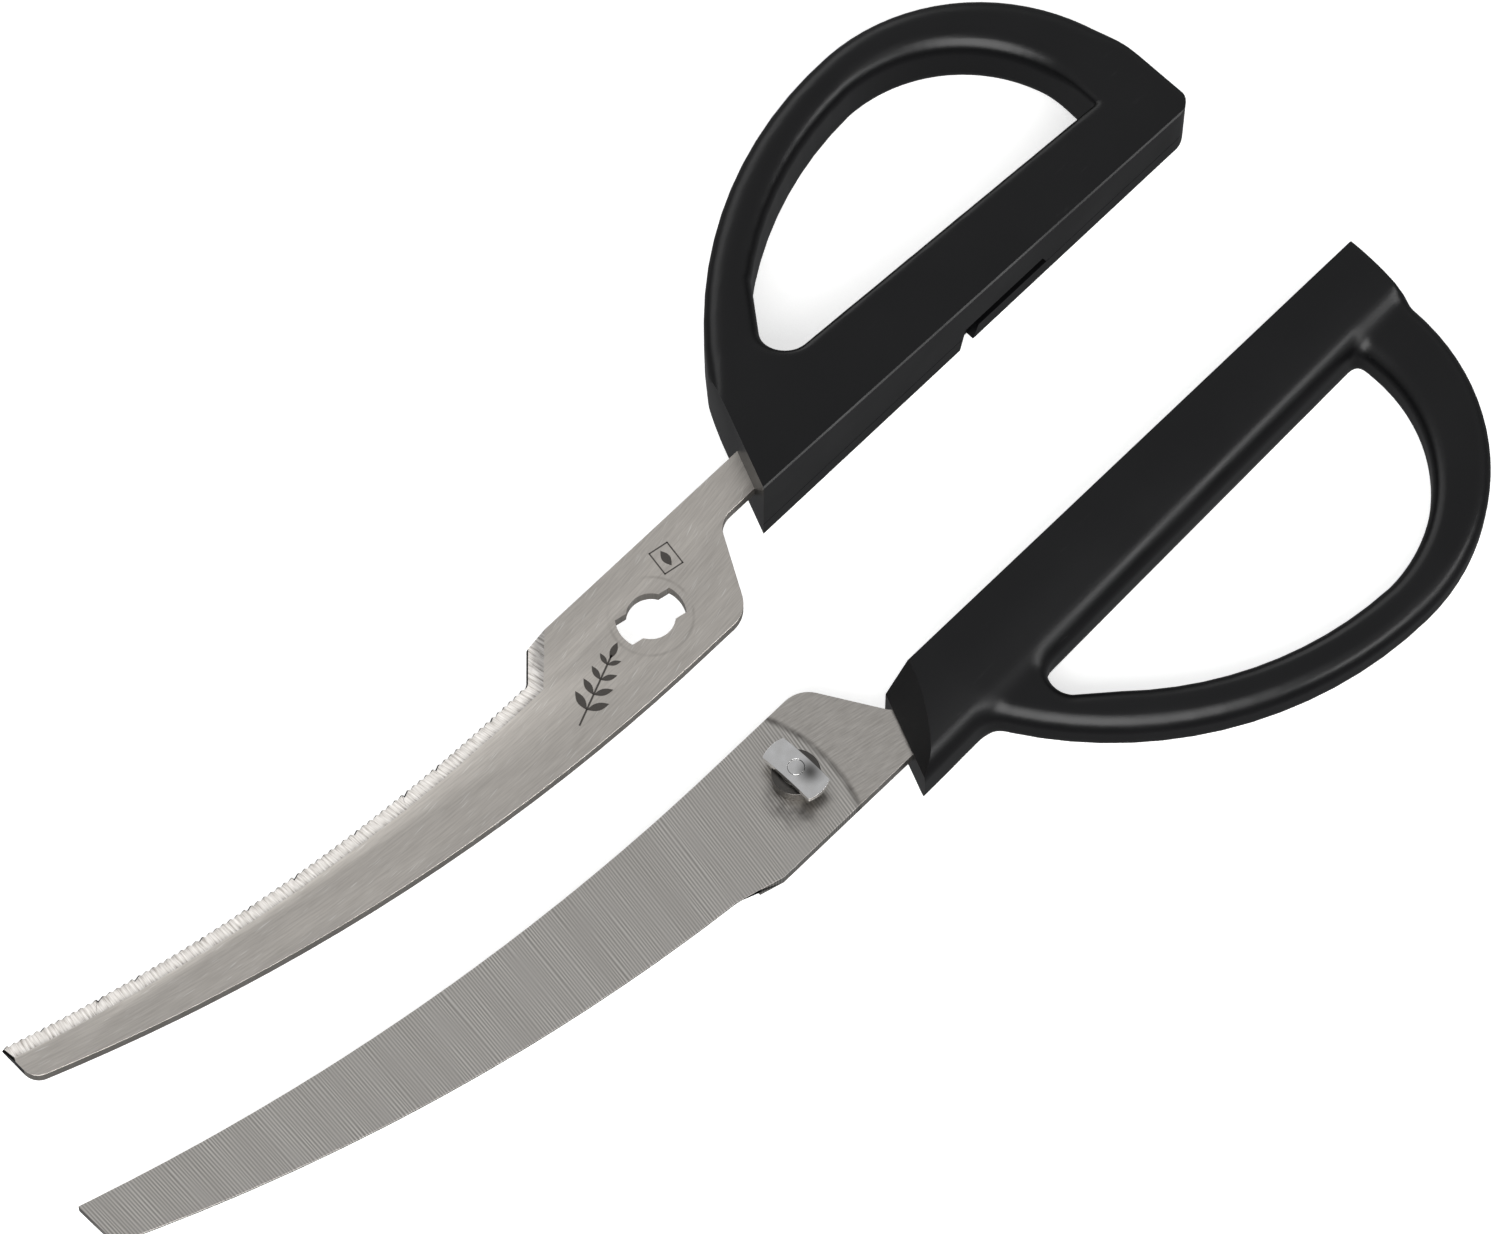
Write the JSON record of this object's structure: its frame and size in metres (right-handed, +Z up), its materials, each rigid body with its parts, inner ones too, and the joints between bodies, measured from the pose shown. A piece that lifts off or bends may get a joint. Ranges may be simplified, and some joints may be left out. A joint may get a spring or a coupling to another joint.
{
  "type": "poultry shears",
  "caption": "Take-apart poultry shears with curved blades, one serrated, and a finger loop on each handle, lying apart.",
  "frame": {"origin": "middle of the flat underside of the finger handle's bar, on the surface that the shears lie on", "axes": "+X along the bars towards the handle ends, +Y towards the thumb loop, +Z up"},
  "size_m": [0.2503, 0.132, 0.0168],
  "materials": {
    "satin_steel": "satin grain along the blade",
    "ground_steel": "ground across the blade",
    "turned_steel": "turned",
    "polished_steel": "polished",
    "black_plastic": "satin moulded"
  },
  "bodies": {
    "plain_half": {"plain_blade": "ground_steel", "finger_handle": "black_plastic", "lock_bar": "polished_steel"},
    "pivot": {"pivot_post": "turned_steel"},
    "serrated_half": {"serrated_blade": "satin_steel", "thumb_handle": "black_plastic"}
  },
  "joints": [
    {"name": "swing", "type": "hinge", "parent": "plain_half", "child": "pivot", "pos_m": [-0.072, 0.006, 0.007], "axis": [0, 0, 1], "range_deg": [0, 102]},
    {"name": "bring_together", "type": "slide", "parent": "pivot", "child": "serrated_half", "axis": [-0.085, -0.9632, 0.255], "range_m": [0, 0.03529]}
  ]
}
